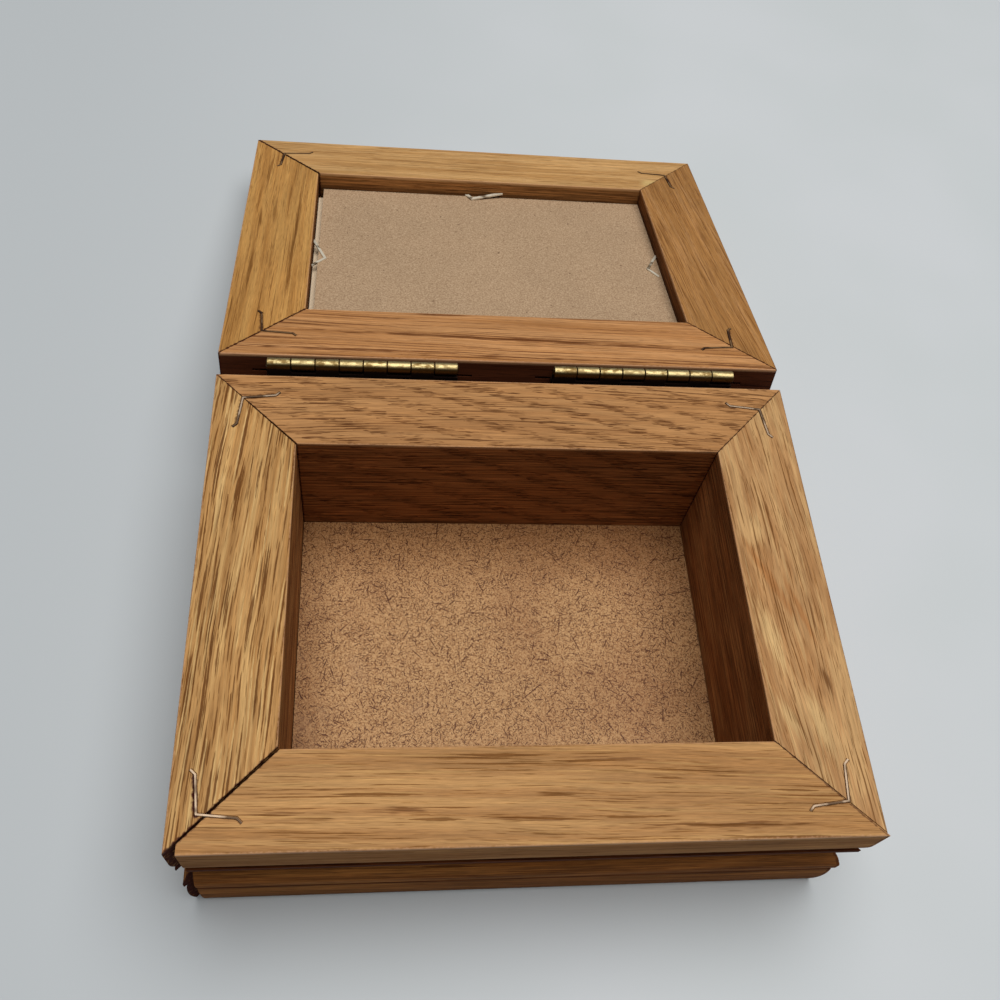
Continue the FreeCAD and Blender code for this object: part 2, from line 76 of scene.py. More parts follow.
class Tree:
    """A node tree under construction. Each method adds a node and returns its main output."""

    def __init__(self, nodes: bpy.types.NodeTree) -> None:
        """Keep the tree that the nodes go into."""
        self.nodes = nodes

    def add(self, kind: str, **settings: object) -> bpy.types.Node:
        """Add a node.

        Args:
            kind: The node's type, without its ShaderNode prefix.
            settings: Properties to set on it.

        Returns:
            The new node.
        """
        node = self.nodes.nodes.new("ShaderNode" + kind)
        for name, value in settings.items():
            setattr(node, name, value)
        return node

    def feed(self, socket: Socket, value: object) -> None:
        """Link an output to a socket, or set the socket to a number, a vector or a colour."""
        if isinstance(value, Socket):
            self.nodes.links.new(value, socket)
        elif isinstance(value, tuple) and socket.type == "RGBA":
            socket.default_value = (*value, 1.0)
        else:
            socket.default_value = value

    def math(self, operation: str, *operands: object) -> Socket:
        """Work out one number from up to three."""
        node = self.add("Math", operation=operation)
        for socket, value in zip(node.inputs, operands):
            self.feed(socket, value)
        return node.outputs[0]

    def vector(self, operation: str, *operands: object) -> Socket:
        """Work out one vector, or one number, from up to three vectors."""
        node = self.add("VectorMath", operation=operation)
        for socket, value in zip(node.inputs, operands):
            self.feed(socket, value)
        return node.outputs["Value" if operation in ("LENGTH", "DOT_PRODUCT", "DISTANCE") else "Vector"]

    def split(self, vector: Socket) -> tuple[Socket, Socket, Socket]:
        """Split a vector into its three numbers."""
        node = self.add("SeparateXYZ")
        self.feed(node.inputs[0], vector)
        return tuple(node.outputs)

    def join(self, x: object, y: object, z: object) -> Socket:
        """Join three numbers into a vector."""
        node = self.add("CombineXYZ")
        for socket, value in zip(node.inputs, (x, y, z)):
            self.feed(socket, value)
        return node.outputs[0]

    def stretch(self, vector: Socket, along: float, across: float, depth: float) -> Socket:
        """Scale a place in millimetres so that one unit is that long along, across and deep."""
        return self.vector("MULTIPLY", vector, (1 / along, 1 / across, 1 / depth))

    def noise(self, vector: Socket, detail: float = 2.0, roughness: float = 0.5, bend: float = 0.0,
              colour: bool = False) -> Socket:
        """Smooth noise about 0.5 with features one unit across."""
        node = self.add("TexNoise", noise_dimensions="3D")
        node.inputs["Scale"].default_value = 1.0
        node.inputs["Detail"].default_value = detail
        node.inputs["Roughness"].default_value = roughness
        node.inputs["Distortion"].default_value = bend
        self.feed(node.inputs["Vector"], vector)
        return node.outputs["Color" if colour else "Fac"]

    def swing(self, vector: Socket, reach: object, detail: float = 1.0) -> Socket:
        """Noise about zero that swings by roughly a fifth of the reach to either side."""
        return self.math("MULTIPLY", self.math("SUBTRACT", self.noise(vector, detail), 0.5), reach)

    def step(self, value: Socket, start: object, end: object, low: object = 0.0, high: object = 1.0) -> Socket:
        """Ease from low to high as the value goes from start to end."""
        node = self.add("MapRange", interpolation_type="SMOOTHSTEP")
        for name, number in (("Value", value), ("From Min", start), ("From Max", end),
                             ("To Min", low), ("To Max", high)):
            self.feed(node.inputs[name], number)
        return node.outputs["Result"]

    def mix(self, factor: object, first: object, second: object, way: str = "MIX") -> Socket:
        """Blend two colours."""
        node = self.add("Mix", data_type="RGBA", blend_type=way)
        colours = [socket for socket in node.inputs if socket.type == "RGBA"]
        self.feed(node.inputs["Factor"], factor)
        self.feed(colours[0], first)
        self.feed(colours[1], second)
        return next(socket for socket in node.outputs if socket.type == "RGBA")

    def shade(self, colour: Socket, value: Socket, low: float, high: float, spread: float = 0.2) -> Socket:
        """Darken or lighten a colour by a share that follows noise from low to high."""
        share = self.step(value, 0.5 - spread, 0.5 + spread, low, high)
        return self.vector("MULTIPLY", colour, self.join(share, share, share))

    def place(self, turn: Euler = Euler(), shift: Vector = Vector()) -> Socket:
        """The point on the piece in millimetres, turned and then moved."""
        coordinates = self.add("TexCoord")
        mapping = self.add("Mapping", vector_type="POINT")
        self.feed(mapping.inputs["Vector"], coordinates.outputs["Object"])
        mapping.inputs["Location"].default_value = shift
        mapping.inputs["Rotation"].default_value = turn
        mapping.inputs["Scale"].default_value = (MM, MM, MM)
        return mapping.outputs[0]


def material(name: str) -> tuple[bpy.types.Material, Tree, bpy.types.Node]:
    """Start a material with one main shader.

    Args:
        name: The material's name.

    Returns:
        The material, its tree and its main shader node.
    """
    made = bpy.data.materials.new(name)
    made.use_nodes = True
    made.node_tree.nodes.clear()
    tree = Tree(made.node_tree)
    shader = tree.add("BsdfPrincipled")
    output = tree.add("OutputMaterial")
    tree.feed(output.inputs["Surface"], shader.outputs["BSDF"])
    return made, tree, shader


def bumps(tree: Tree, shader: bpy.types.Node, height: Socket, depth: float, strength: float = 1.0) -> None:
    """Raise and sink the surface's shading by a height from 0 to 1, with depth in metres."""
    node = tree.add("Bump")
    node.inputs["Strength"].default_value = strength
    node.inputs["Distance"].default_value = depth
    tree.feed(node.inputs["Height"], height)
    tree.feed(shader.inputs["Normal"], node.outputs["Normal"])


def dress(node: str, finish: bpy.types.Material) -> None:
    """Give a CAD node one material all over."""
    mesh = frame["nodes"][node].data
    mesh.materials.clear()
    mesh.materials.append(finish)


@dataclass(frozen=True)
class FrameShape:
    """The flat face of one of the two mitred frames, and where it lies. Sizes are in millimetres."""

    name: str
    middle: Vector
    tilt: float
    half_width: float
    half_depth: float
    rail: float
    nail_leg: float
    nail_splay: float

    def _turn_and_shift(self) -> tuple[Euler, Vector]:
        """The turn and the move that bring the flat face to level, with its middle at zero."""
        turn = Euler((self.tilt, 0.0, 0.0))
        return turn, -(turn.to_matrix() @ self.middle) * MM

    def point(self, tree: Tree) -> Socket:
        """Place in the frame in millimetres: right, away from the front, and up from its flat face."""
        return tree.place(*self._turn_and_shift())

    def nail_points(self) -> list[tuple[float, float]]:
        """Find the point of each V-nail, which is its vertex furthest out from the frame's middle.

        Returns:
            Each point's place to the right and away from the front.
        """
        turn, shift = self._turn_and_shift()
        found = []
        for corner in ("front_left", "front_right", "rear_left", "rear_right"):
            mesh = frame["nodes"][f"{self.name}_v_nail_{corner}"].data
            flat = np.empty(len(mesh.vertices) * 3)
            mesh.vertices.foreach_get("co", flat)
            places = flat.reshape(-1, 3) @ np.array(turn.to_matrix()).T * MM + np.array(shift)
            outermost = places[np.abs(places[:, :2]).sum(axis=1).argmax()]
            found.append((float(outermost[0]), float(outermost[1])))
        return found


@dataclass(frozen=True)
class Marks:
    """One kind of dark or pale mark in the grain: noise drawn out along the fibres, cut at a level."""

    length: float
    width: float
    level: float
    soft: float
    strength: float
    colour: Colour
    gather: Gather = Gather.EVEN
    pull: float = 0.0
    detail: float = 1.0

    def mask(self, tree: Tree, fibres: Socket, fields: dict[Gather, Socket]) -> Socket:
        """Build the marks' mask.

        Args:
            tree: The tree to build in.
            fibres: Place along and across the fibres in millimetres.
            fields: Where marks crowd, as values about one half.

        Returns:
            The mask, from 0 to the marks' strength.
        """
        drawn = tree.noise(tree.stretch(fibres, self.length, self.width, self.width * 1.7), self.detail)
        if self.gather is not Gather.EVEN:
            pulled = tree.math("SUBTRACT", fields[self.gather], 0.5)
            drawn = tree.math("MULTIPLY_ADD", pulled, self.pull, drawn)
        return tree.step(drawn, self.level, self.level + self.soft, 0.0, self.strength)


@dataclass(frozen=True)
class Dashes:
    """Crisp lens-shaped streaks, at most one to a cell, for open pores and pale flakes."""

    length: float
    gap: float
    width: float
    share: float
    strength: float
    colour: Colour
    gather: Gather = Gather.EVEN
    pull: float = 0.0
    soft: float = 0.16

    LEAN = 0.8
    FRAY = 0.45

    def mask(self, tree: Tree, fibres: Socket, fields: dict[Gather, Socket]) -> Socket:
        """Build the streaks' mask.

        The fibres' plane is cut into cells of the given length and gap. Half a streak's width at a
        place along it is its greatest half width times one less the square of that place over its
        reach, so both ends come to a point. Each cell's own random numbers set the reach, the width
        and whether it holds a streak. The plane leans, so that faces at right angles both cut it.

        Args:
            tree: The tree to build in.
            fibres: Place along, across and below the fibres in millimetres.
            fields: Where streaks crowd, as values about one half.

        Returns:
            The mask, from 0 to the streaks' strength.
        """
        along, level, depth = tree.split(fibres)
        level = tree.math("MULTIPLY_ADD", depth, self.LEAN, level)
        own = self.length * 1.37 + self.gap * 5.1
        flat = tree.join(tree.math("DIVIDE", tree.math("ADD", along, own), self.length),
                         tree.math("DIVIDE", tree.math("ADD", level, own), self.gap), 0.0)
        cells = tree.add("TexVoronoi", voronoi_dimensions="2D", feature="F1")
        cells.inputs["Scale"].default_value = 1.0
        tree.feed(cells.inputs["Vector"], flat)
        red, green, blue = tree.split(cells.outputs["Color"])
        off_along, off_side, _ = tree.split(tree.vector("SUBTRACT", flat, cells.outputs["Position"]))
        frayed = tree.swing(tree.stretch(fibres, 2.6, 0.28, 0.5), self.FRAY * self.width, 2)
        side = tree.math("MULTIPLY_ADD", tree.math("ABSOLUTE", off_side), self.gap, frayed)
        reach = tree.math("MULTIPLY_ADD", red, 0.35, 0.22)
        share = tree.math("DIVIDE", off_along, reach)
        lens = tree.math("SUBTRACT", 1.0, tree.math("MULTIPLY", share, share))
        half = tree.math("MULTIPLY_ADD", green, 0.35 * self.width, 0.25 * self.width)
        inside = tree.math("SUBTRACT", tree.math("MULTIPLY", half, lens), side)
        held = self.share
        if self.gather is not Gather.EVEN:
            pulled = tree.math("SUBTRACT", fields[self.gather], 0.5)
            held = tree.math("MULTIPLY_ADD", pulled, self.pull, self.share)
        there = tree.step(tree.math("SUBTRACT", blue, held), -0.06, 0.02, self.strength, 0.0)
        return tree.math("MULTIPLY", tree.step(inside, 0.0, self.soft), there)


@dataclass(frozen=True)
class Spot:
    """One soft-edged patch or streak at a known place on a board, in millimetres and degrees."""

    along: float
    across: float
    half_length: float
    half_width: float
    colour: Colour
    strength: float = 0.8
    turn: float = 0.0
    core: float = 0.25
    ragged: float = 1.6

    def mask(self, tree: Tree, board: Socket, torn: Socket) -> Socket:
        """Build the patch's mask, an ellipse whose edge is frayed along the fibres.

        Args:
            tree: The tree to build in.
            board: Place on the board: along, across and deep.
            torn: Noise about zero that frays the edge.

        Returns:
            The mask, from 0 to the patch's strength.
        """
        inside = tree.add("Mapping", vector_type="TEXTURE")
        tree.feed(inside.inputs["Vector"], board)
        inside.inputs["Location"].default_value = (self.along, self.across, 0.0)
        inside.inputs["Rotation"].default_value = (0.0, 0.0, radians(self.turn))
        inside.inputs["Scale"].default_value = (self.half_length, self.half_width, 9.0)
        off = tree.vector("LENGTH", inside.outputs[0])
        off = tree.math("MULTIPLY_ADD", torn, self.ragged, off)
        return tree.step(off, self.core, 1.0, self.strength, 0.0)


@dataclass(frozen=True)
class Bands:
    """Broad light and dark bands along a board, and how strongly each shows."""

    length: float
    width: float
    pale: float
    dark: float
    bend: float = 0.0


@dataclass(frozen=True)
class Grain:
    """How the fibres and the growth rings of a board run. Lengths are in millimetres."""

    start: float
    slope: float = 0.0
    bow: float = 0.0
    waver: float = 3.0
    ripple: float = 0.4
    ring_width: float = 6.0
    ring_slope: float = 0.0
    ring_tint: float = 0.0


@dataclass(frozen=True)
class OakBoard:
    """One oak rail's finish: its tones, how its grain runs, and the marks in it."""

    node: str
    run: Run
    pale: Colour
    ground: Colour
    dark: Colour
    grain: Grain
    bands: Bands
    marks: tuple[Marks | Dashes, ...]
    spots: tuple[Spot, ...] = ()
    mitres: tuple[tuple[float, float], tuple[float, float]] = ((0.7, 0.3), (0.7, 0.3))
    nail_stains: tuple[float, float] = (0.5, 0.5)
    # Painted shade: the well's inner walls are multiplied by this colour, and darker still towards the given depth.
    well_shade: Colour = (0.69, 0.53, 0.44)
    well_depth: float = 90.0
    # Line along the outer arris: wear with a painted highlight when pale, painted shade when dark.
    outer_arris: Colour = tone(206, 160, 124)
    # Painted shade on the upper band of the moulded outside.
    band_shade: Colour = (0.78, 0.69, 0.64)

    STAIN = tone(62, 14, 4)
    # Pale line along the inner arris: wear with a painted highlight.
    ARRIS = tone(196, 148, 108)
    # Painted shade on the foot and, darkest, in the moulding's two grooves.
    FOOT_SHADE = (0.58, 0.41, 0.25)
    GROOVE_SHADE = (0.20, 0.10, 0.06)

    def fibres(self, tree: Tree, board: Socket) -> Socket:
        """Follow the fibres, which lean, bow and waver as they run along the board.

        The place across the fibres is the place across the board, less the slope times the place
        along it, plus the bow times its square, plus a slow and a quick noise.

        Args:
            tree: The tree to build in.
            board: Place on the board: along, across and deep.

        Returns:
            Place along, across and below the fibres.
        """
        along, across, depth = tree.split(board)
        level = tree.math("MULTIPLY_ADD", along, -self.grain.slope, across)
        level = tree.math("MULTIPLY_ADD", tree.math("MULTIPLY", along, along), self.grain.bow, level)
        shifted = tree.vector("ADD", board, (self.grain.start, 0.0, self.grain.start))
        level = tree.math("ADD", level, tree.swing(tree.stretch(shifted, 90, 24, 24), self.grain.waver))
        level = tree.math("ADD", level, tree.swing(tree.stretch(shifted, 22, 5, 5), self.grain.ripple))
        return tree.join(tree.math("ADD", along, self.grain.start), level,
                         tree.math("ADD", depth, self.grain.start))

    def rings(self, tree: Tree, fibres: Socket) -> Socket:
        """Find the early wood of the growth rings, where the open pores crowd.

        A ring's phase is the place across it over its width, and grows with depth as well. Early
        wood comes up sharply and fades out slowly.

        Args:
            tree: The tree to build in.
            fibres: Place along, across and below the fibres.

        Returns:
            The early wood, from 0 to 1.
        """
        along, level, depth = tree.split(fibres)
        level = tree.math("MULTIPLY_ADD", tree.math("SUBTRACT", along, self.grain.start),
                          -self.grain.ring_slope, level)
        level = tree.math("MULTIPLY_ADD", depth, 0.55, level)
        level = tree.math("ADD", level, tree.swing(tree.stretch(fibres, 9, 1.6, 1.6), 2.4, 2))
        share = tree.math("FRACT", tree.math("DIVIDE", level, self.grain.ring_width))
        return tree.math("MULTIPLY", tree.step(share, 0.0, 0.16), tree.step(share, 0.28, 0.75, 1.0, 0.0))

    def figure(self, tree: Tree, board: Socket) -> tuple[Socket, Socket]:
        """Paint the wood itself.

        Args:
            tree: The tree to build in.
            board: Place on the board: along, across and deep.

        Returns:
            The colour, and the height from 0 to 1 for bumps.
        """
        fibres = self.fibres(tree, board)
        early = self.rings(tree, fibres)
        clouds = tree.noise(tree.stretch(fibres, 38, 6, 6), 1)
        fields = {Gather.CLOUDS: clouds, Gather.RINGS: early}
        band = tree.noise(tree.stretch(fibres, self.bands.length, self.bands.width, self.bands.width * 2),
                          2, 0.5, self.bands.bend)
        colour = tree.mix(tree.step(band, 0.50, 0.63, 0.0, self.bands.pale), self.ground, self.pale)
        colour = tree.mix(tree.step(band, 0.50, 0.37, 0.0, self.bands.dark), colour, self.dark)
        if self.grain.ring_tint:
            colour = tree.mix(tree.math("MULTIPLY", early, self.grain.ring_tint), colour, self.dark)
        torn = tree.swing(tree.stretch(fibres, 9, 0.45, 0.8), 1.0, 2)
        for spot in self.spots:
            colour = tree.mix(spot.mask(tree, board, torn), colour, spot.colour)
        sunk = None
        for marks in self.marks:
            mask = marks.mask(tree, fibres, fields)
            colour = tree.mix(mask, colour, marks.colour)
            sunk = mask if sunk is None else tree.math("MAXIMUM", sunk, mask)
        fine = tree.noise(tree.stretch(fibres, 5.0, 0.20, 0.24), 2, 0.6)
        medium = tree.noise(tree.stretch(fibres, 26, 0.55, 1.0), 2, 0.55)
        slow = tree.noise(tree.stretch(fibres, 55, 11, 11), 2)
        colour = tree.shade(colour, fine, 0.85, 1.13)
        colour = tree.shade(colour, medium, 0.87, 1.12)
        colour = tree.shade(colour, slow, 0.92, 1.07)
        return colour, tree.math("MULTIPLY_ADD", sunk, -0.6, tree.math("MULTIPLY", fine, 0.5))

    def wear(self, tree: Tree, place: Socket, colour: Socket, shape: FrameShape) -> Socket:
        """Darken the mitres and the wood about the V-nails, draw a line along the arrises that is part wear and part
        painted highlight or shade, and paint shade into the well and onto the moulded outside.

        On a mitre the distances from the frame's middle lines differ by the same amount. Near a
        nail the distance is from its leg, a line that runs from its point into the rail.

        Args:
            tree: The tree to build in.
            place: Place in the frame.
            colour: The wood's colour.
            shape: The frame's sizes.

        Returns:
            The worn colour.
        """
        x, y, height = tree.split(place)
        far_x, far_y = tree.math("ABSOLUTE", x), tree.math("ABSOLUTE", y)
        rough = tree.swing(tree.stretch(place, 1.1, 1.1, 1.1), 1.0, 3)
        on_face = tree.step(height, -1.4, -0.3)

        outer = tree.math("MINIMUM", tree.math("SUBTRACT", shape.half_width, far_x),
                          tree.math("SUBTRACT", shape.half_depth, far_y))
        well = tree.math("MAXIMUM", tree.math("SUBTRACT", far_x, shape.half_width - shape.rail),
                         tree.math("SUBTRACT", far_y, shape.half_depth - shape.rail))
        # Painted shade: the well's inner walls darken, more so towards the bottom, with grain streaks through the
        # shaded colour.
        inside = tree.math("MULTIPLY", tree.step(height, -0.3, -1.5), tree.step(well, 1.5, 0.5))
        low = tree.step(height, -0.4 * self.well_depth, -self.well_depth)
        painted_shade = tree.mix(low, self.well_shade, tuple(0.42 * share for share in self.well_shade))
        grain = (30.0, 0.9, 0.6) if self.run is Run.SIDEWAYS else (0.9, 30.0, 0.6)
        streaks = tree.noise(tree.stretch(place, *grain), 3, 0.6)
        wear_and_painted_light = tree.shade(tree.mix(1.0, colour, painted_shade, "MULTIPLY"), streaks, 0.56, 1.46)
        colour = tree.mix(inside, colour, wear_and_painted_light)
        colour = self.side_shade(tree, colour, height, well, streaks)
        # A line along the outer and inner arrises: wear with a painted highlight where pale, painted shade where dark.
        for edge, arris in ((outer, self.outer_arris), (well, self.ARRIS)):
            off_edge = tree.math("MULTIPLY_ADD", rough, 1.2, edge)
            rub_and_painted_light = tree.math("MULTIPLY", on_face, tree.step(off_edge, 0.05, 0.55, 0.50, 0.0))
            colour = tree.mix(rub_and_painted_light, colour, arris)

        along = x if self.run is Run.SIDEWAYS else y
        (low_dark, low_wide), (high_dark, high_wide) = self.mitres
        end = tree.step(along, -1.0, 1.0)
        longer = shape.half_width - shape.half_depth
        off = tree.math("ABSOLUTE", tree.math("SUBTRACT", tree.math("SUBTRACT", far_x, far_y), longer))
        off = tree.math("MULTIPLY_ADD", off, sqrt(0.5), tree.math("MULTIPLY", rough, 1.3))
        wide = tree.math("MULTIPLY_ADD", end, high_wide - low_wide, low_wide)
        dark = tree.math("MULTIPLY_ADD", end, high_dark - low_dark, low_dark)
        colour = tree.mix(tree.step(off, tree.math("MULTIPLY", wide, 0.3), wide, dark, 0.0), colour, self.STAIN)

        for right, away in shape.nail_points():
            on_rail = (away > 0) if "rear" in self.node else (away < 0)
            if self.run is Run.LENGTHWAYS:
                on_rail = (right > 0) if "right" in self.node else (right < 0)
            if on_rail:
                far_end = right > 0 if self.run is Run.SIDEWAYS else away > 0
                colour = self.nail_stain(tree, place, colour, shape, rough, right, away,
                                         self.nail_stains[int(far_end)])
        return colour

    def side_shade(self, tree: Tree, colour: Socket, height: Socket, well: Socket, streaks: Socket) -> Socket:
        """Paint shade on the moulded outside: a little on the upper band, more on the foot, most in the grooves.

        Args:
            tree: The tree to build in.
            colour: The wood's colour.
            height: Height over the flat face in millimetres.
            well: Distance from the inner edge in millimetres.
            streaks: Noise drawn out along the grain.

        Returns:
            The darkened colour.
        """
        # Painted shade on the moulded outside: light on the band, deeper on the foot, darkest in the grooves, with
        # grain streaks on the foot.
        outside = tree.math("MULTIPLY", tree.step(height, -0.3, -1.2), tree.step(well, 12.0, 14.0))
        low = tree.step(height, -16.0, -19.0)
        painted_shade = tree.mix(low, self.band_shade, self.FOOT_SHADE)
        for top, foot, dark in ((-16.0, -20.8, 1.0), (-36.5, -39.2, 0.8)):
            groove = tree.math("MULTIPLY", tree.step(height, top + 0.5, top - 0.5, 0.0, dark),
                               tree.step(height, foot - 0.6, foot + 0.4))
            painted_shade = tree.mix(groove, painted_shade, self.GROOVE_SHADE)
        shaded_side = tree.mix(1.0, colour, painted_shade, "MULTIPLY")
        shaded_side = tree.mix(low, shaded_side, tree.shade(shaded_side, streaks, 0.64, 1.34))
        return tree.mix(outside, colour, shaded_side)

    def nail_stain(self, tree: Tree, place: Socket, colour: Socket, shape: FrameShape, rough: Socket,
                   right: float, away: float, strength: float) -> Socket:
        """Stain the wood round the one leg of a V-nail that runs into this rail.

        Args:
            tree: The tree to build in.
            place: Place in the frame.
            colour: The wood's colour.
            shape: The frame's sizes.
            rough: Noise about zero that frays the stain.
            right: The nail's point, to the right of the frame's middle.
            away: The nail's point, away from the front.
            strength: How dark the stain is, from 0 to 1.

        Returns:
            The stained colour.
        """
        side, end = np.sign(right), np.sign(away)
        splay = radians(shape.nail_splay)
        if self.run is Run.SIDEWAYS:
            way = (-side * cos(splay), end * sin(splay), 0.0)
        else:
            way = (side * sin(splay), -end * cos(splay), 0.0)
        flat = tree.vector("MULTIPLY", place, (1.0, 1.0, 0.0))
        offset = tree.vector("SUBTRACT", flat, (right, away, 0.0))
        run = tree.math("MINIMUM", tree.math("MAXIMUM", tree.vector("DOT_PRODUCT", offset, way), 0.0),
                        shape.nail_leg)
        nearest = tree.add("VectorMath", operation="SCALE")
        nearest.inputs[0].default_value = way
        tree.feed(nearest.inputs["Scale"], run)
        off = tree.vector("DISTANCE", offset, nearest.outputs[0])
        off = tree.math("MULTIPLY_ADD", rough, 1.6, off)
        return tree.mix(tree.step(off, 0.25, 0.35 + 0.6 * strength, strength, 0.0), colour, self.STAIN)

    def finish(self, shape: FrameShape) -> bpy.types.Material:
        """Build the rail's material.

        Args:
            shape: The frame that the rail is part of.

        Returns:
            The material.
        """
        made, tree, shader = material("oak_" + self.node)
        place = shape.point(tree)
        x, y, z = tree.split(place)
        board = tree.join(*((x, y, z) if self.run is Run.SIDEWAYS else (y, x, z)))
        colour, height = self.figure(tree, board)
        tree.feed(shader.inputs["Base Color"], self.wear(tree, place, colour, shape))
        face = tree.step(height, -0.3, 0.4, 0.72, 0.50)
        tree.feed(shader.inputs["Roughness"], tree.step(z, -1.5, -0.5, 0.92, face))
        shader.inputs["Specular IOR Level"].default_value = 0.14
        bumps(tree, shader, height, 0.00010)
        return made


@dataclass(frozen=True)
class Hardboard:
    """The floor's smooth pressed face: a tan sheet full of short dark fibres."""

    ground: Colour = tone(158, 114, 70)
    pale: Colour = tone(194, 152, 104)
    rusty: Colour = tone(126, 74, 34)
    fibre: Colour = tone(80, 34, 4)
    straw: Colour = tone(206, 166, 118)
    # Painted sheen: the pale patch at the front left of the floor.
    rub_and_painted_light: Colour = tone(156, 122, 94)
    # Painted shade along the walls, as a colour the floor is multiplied by.
    wall_shade: Colour = (0.62, 0.46, 0.34)
    strokes: tuple[tuple[float, float, float, float, float, Colour], ...] = (
        (0.8, 0.17, 0.60, 0.60, 11.9, straw), (0.9, 0.20, 0.56, 0.74, 1.3, fibre),
        (1.2, 0.17, 0.54, 0.82, 2.7, fibre), (1.8, 0.13, 0.42, 0.88, 4.1, fibre),
        (3.6, 0.075, 0.24, 0.92, 6.2, fibre), (8.5, 0.032, 0.16, 0.92, 8.4, fibre))

    def flecks(self, tree: Tree, place: Socket, crowd: Socket, cell: float, width: float,
               share: float, layer: float) -> Socket:
        """Short strokes, one to a cell, each turned its own way.

        A stroke is long and thin in its cell's own turned axes, measured from the cell's seed.

        Args:
            tree: The tree to build in.
            place: Place on the sheet in millimetres.
            crowd: Where strokes crowd together, as noise about one half.
            cell: Size of a cell in millimetres.
            width: Width of a stroke as a share of its cell.
            share: How many of the cells hold a stroke, from 0 to 1.
            layer: Which slice of the cell pattern to take.

        Returns:
            The strokes' mask.
        """
        bent = tree.vector("MULTIPLY_ADD", tree.noise(tree.stretch(place, cell, cell, cell), 1, colour=True),
                           (cell * 0.12,) * 3, place)
        x, y, _ = tree.split(tree.stretch(bent, cell, cell, cell))
        flat = tree.join(x, y, layer)
        cells = tree.add("TexVoronoi", voronoi_dimensions="3D", feature="F1")
        cells.inputs["Scale"].default_value = 1.0
        tree.feed(cells.inputs["Vector"], flat)
        red, green, blue = tree.split(cells.outputs["Color"])
        out_x, out_y, _ = tree.split(tree.vector("SUBTRACT", flat, cells.outputs["Position"]))
        turn = tree.math("MULTIPLY", red, 6.2832)
        cosine, sine = tree.math("COSINE", turn), tree.math("SINE", turn)
        run = tree.math("MULTIPLY_ADD", out_x, cosine, tree.math("MULTIPLY", out_y, sine))
        side = tree.math("SUBTRACT", tree.math("MULTIPLY", out_y, cosine), tree.math("MULTIPLY", out_x, sine))
        reach = tree.math("MULTIPLY_ADD", green, 0.45, 0.30)
        taper = tree.math("DIVIDE", tree.math("ABSOLUTE", run), reach)
        off = tree.math("ADD", tree.math("ABSOLUTE", side), tree.math("MULTIPLY", taper, width * 0.6))
        stroke = tree.step(off, width * 0.45, width, 1.0, 0.0)
        held = tree.math("MULTIPLY_ADD", tree.math("SUBTRACT", crowd, 0.5), 1.6, share)
        there = tree.step(tree.math("SUBTRACT", blue, held), -0.05, 0.05, 1.0, 0.0)
        return tree.math("MULTIPLY", stroke, there)

    def finish(self) -> bpy.types.Material:
        """Build the material, with dark and pale fibres of several sizes over a mottled ground, a painted sheen at the
        front left and painted shade along the walls.
        """
        made, tree, shader = material("hardboard")
        place = tree.place()
        mottle = tree.noise(tree.stretch(place, 0.5, 0.5, 0.5), 3, 0.6)
        cloud = tree.noise(tree.stretch(place, 34, 34, 34), 2)
        crowd = tree.noise(tree.stretch(place, 5, 5, 5), 3, 0.6)
        colour = tree.mix(tree.step(mottle, 0.40, 0.60), self.ground, self.pale)
        speckle = tree.noise(tree.stretch(place, 0.28, 0.28, 0.28), 2, 0.5)
        colour = tree.shade(colour, speckle, 0.86, 1.12)
        colour = tree.mix(tree.step(cloud, 0.45, 0.68, 0.0, 0.30), colour, self.rusty)
        # Painted sheen: a pale patch at the front left of the floor, in which the fibres fade.
        wear_and_painted_light = Spot(-60.0, -88.0, 58.0, 46.0, self.rub_and_painted_light, 0.70, -20.0, 0.3, 1.6)
        patch = wear_and_painted_light.mask(tree, place, tree.swing(tree.stretch(place, 12, 12, 12), 1.0, 3))
        total = None
        for cell, width, share, strength, layer, tint in self.strokes:
            mark = tree.math("MULTIPLY", self.flecks(tree, place, crowd, cell, width, share, layer), strength)
            mark = tree.math("MULTIPLY", mark, tree.math("MULTIPLY_ADD", patch, -0.85, 1.0))
            colour = tree.mix(mark, colour, tint)
            total = mark if total is None else tree.math("MAXIMUM", total, mark)
        colour = tree.mix(patch, colour, wear_and_painted_light.colour)
        # Painted shade: the floor darkens towards its right, left and rear walls.
        right, away, _ = tree.split(place)
        near_walls = tree.math("MAXIMUM", tree.step(right, 20.0, 66.0, 0.0, 0.35), tree.step(right, -50.0, -64.0, 0.0, 0.5))
        near_walls = tree.math("MAXIMUM", near_walls, tree.step(away, -64.0, -27.0, 0.0, 0.6))
        colour = tree.mix(near_walls, colour, tree.mix(1.0, colour, self.wall_shade, "MULTIPLY"))
        tree.feed(shader.inputs["Base Color"], colour)
        shader.inputs["Roughness"].default_value = 0.5
        shader.inputs["Specular IOR Level"].default_value = 0.2
        bumps(tree, shader, tree.math("MULTIPLY_ADD", total, -0.5, mottle), 0.00005)
        return made


